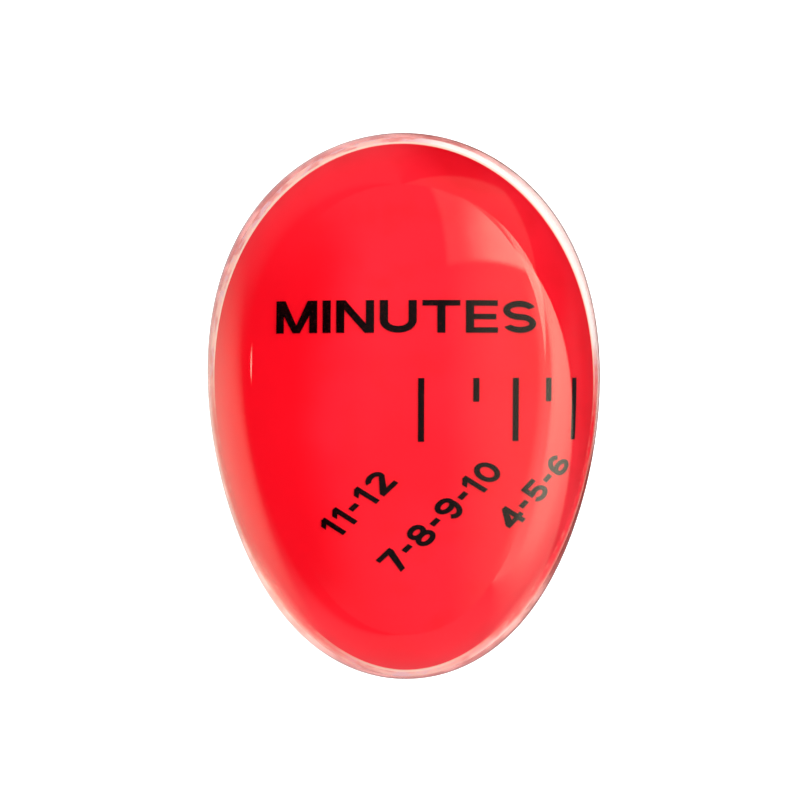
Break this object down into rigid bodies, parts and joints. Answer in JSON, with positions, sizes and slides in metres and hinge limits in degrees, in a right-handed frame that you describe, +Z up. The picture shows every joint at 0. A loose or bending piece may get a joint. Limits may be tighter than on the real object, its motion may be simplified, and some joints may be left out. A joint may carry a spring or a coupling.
{
  "type": "colour-changing egg timer",
  "caption": "Egg-shaped timer that boils with the eggs: a clear resin dome and flat-bottomed base around a red heat-sensitive insert with a printed minute scale.",
  "frame": {"origin": "middle of the flat underside, at the bottom centre of the bounding box", "axes": "+Z up through the dome, +Y along the egg towards its blunt end, +X to the right seen from above with the print upright"},
  "size_m": [0.0402, 0.056, 0.0301],
  "materials": {
    "clear_resin": "clear cast resin, polished",
    "heat_sensitive_red": "red heat-sensitive coating under resin",
    "black_ink": "matt black screen-printed ink"
  },
  "bodies": {
    "root": {"clear_dome": "clear_resin", "clear_base": "clear_resin", "heat_sensitive_insert": "heat_sensitive_red", "title_1_m": "black_ink", "title_2_i": "black_ink", "title_3_n": "black_ink", "title_4_u": "black_ink", "title_5_t": "black_ink", "title_6_e": "black_ink", "title_7_s": "black_ink", "label_hard_1_one": "black_ink", "label_hard_2_one": "black_ink", "label_hard_3_dash": "black_ink", "label_hard_4_one": "black_ink", "label_hard_5_two": "black_ink", "label_medium_1_seven": "black_ink", "label_medium_2_dash": "black_ink", "label_medium_3_eight": "black_ink", "label_medium_4_dash": "black_ink", "label_medium_5_nine": "black_ink", "label_medium_6_dash": "black_ink", "label_medium_7_one": "black_ink", "label_medium_8_nought": "black_ink", "label_soft_1_four": "black_ink", "label_soft_2_dash": "black_ink", "label_soft_3_five": "black_ink", "label_soft_4_dash": "black_ink", "label_soft_5_six": "black_ink", "tick_hard": "black_ink", "tick_hard_to_medium": "black_ink", "tick_medium": "black_ink", "tick_medium_to_soft": "black_ink", "tick_soft": "black_ink"}
  },
  "joints": []
}
